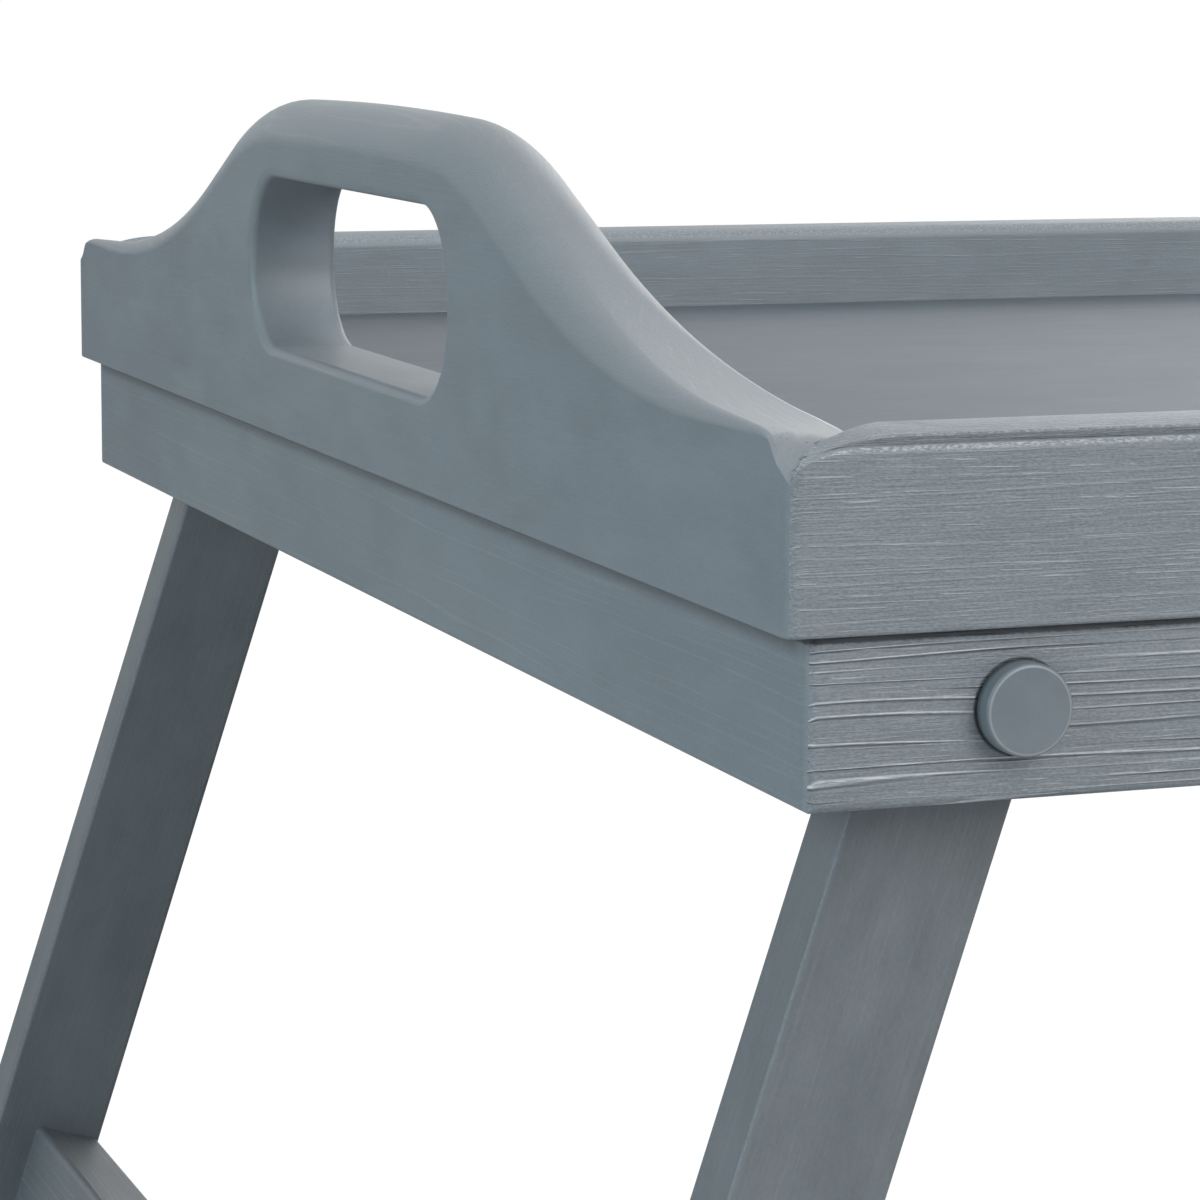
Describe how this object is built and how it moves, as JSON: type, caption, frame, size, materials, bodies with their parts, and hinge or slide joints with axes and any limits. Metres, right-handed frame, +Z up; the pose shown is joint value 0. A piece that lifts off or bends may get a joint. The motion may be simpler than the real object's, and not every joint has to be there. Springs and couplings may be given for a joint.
{
  "type": "folding bed tray table",
  "caption": "Folding bed tray with a mitred rim, humped end boards pierced by handle slots, and splayed leg frames that fold flat under the tray",
  "frame": {"origin": "on the surface that the feet stand on, below the middle of the tray", "axes": "+X along the tray's length, +Y from the front rail to the back rail, +Z up"},
  "size_m": [0.5958, 0.3324, 0.265],
  "materials": {
    "frame_paint": "grey satin paint on bamboo",
    "panel_paint": "grey satin paint on board",
    "leg_paint": "grey satin paint on bamboo",
    "cap_plastic": "moulded, semi-gloss",
    "steel": "zinc plated",
    "nylon": "natural nylon",
    "beech": "bare beech"
  },
  "bodies": {
    "tray": {"tray_panel": "panel_paint", "end_board_left": "frame_paint", "end_board_right": "frame_paint", "rail_front": "frame_paint", "rail_back": "frame_paint", "apron_front": "frame_paint", "apron_back": "frame_paint", "apron_left": "frame_paint", "apron_right": "frame_paint", "corner_nails_tray": "steel", "corner_nails_apron": "steel", "frame_screws": "steel", "pivot_bolt_front_left": "steel", "pivot_bolt_back_left": "steel", "pivot_bolt_front_right": "steel", "pivot_bolt_back_right": "steel", "pivot_cap_front_left": "cap_plastic", "pivot_cap_back_left": "cap_plastic", "pivot_cap_front_right": "cap_plastic", "pivot_cap_back_right": "cap_plastic", "pivot_washer_front_left": "nylon", "pivot_washer_back_left": "nylon", "pivot_washer_front_right": "nylon", "pivot_washer_back_right": "nylon", "nut_washer_front_left": "steel", "nut_washer_back_left": "steel", "nut_washer_front_right": "steel", "nut_washer_back_right": "steel", "lock_nut_front_left": "steel", "lock_nut_back_left": "steel", "lock_nut_front_right": "steel", "lock_nut_back_right": "steel"},
    "leg_frame_left": {"leg_front_left": "leg_paint", "leg_back_left": "leg_paint", "crossbar_left": "leg_paint", "bar_dowels_left": "beech"},
    "leg_frame_right": {"leg_front_right": "leg_paint", "leg_back_right": "leg_paint", "crossbar_right": "leg_paint", "bar_dowels_right": "beech"}
  },
  "joints": [
    {"name": "fold_left", "type": "hinge", "parent": "tray", "child": "leg_frame_left", "pos_m": [-0.22117, 0, 0.20448], "axis": [0, -1, 0], "range_deg": [0, 108]},
    {"name": "fold_right", "type": "hinge", "parent": "tray", "child": "leg_frame_right", "pos_m": [0.22117, 0, 0.20448], "axis": [0, 1, 0], "range_deg": [0, 108]}
  ]
}
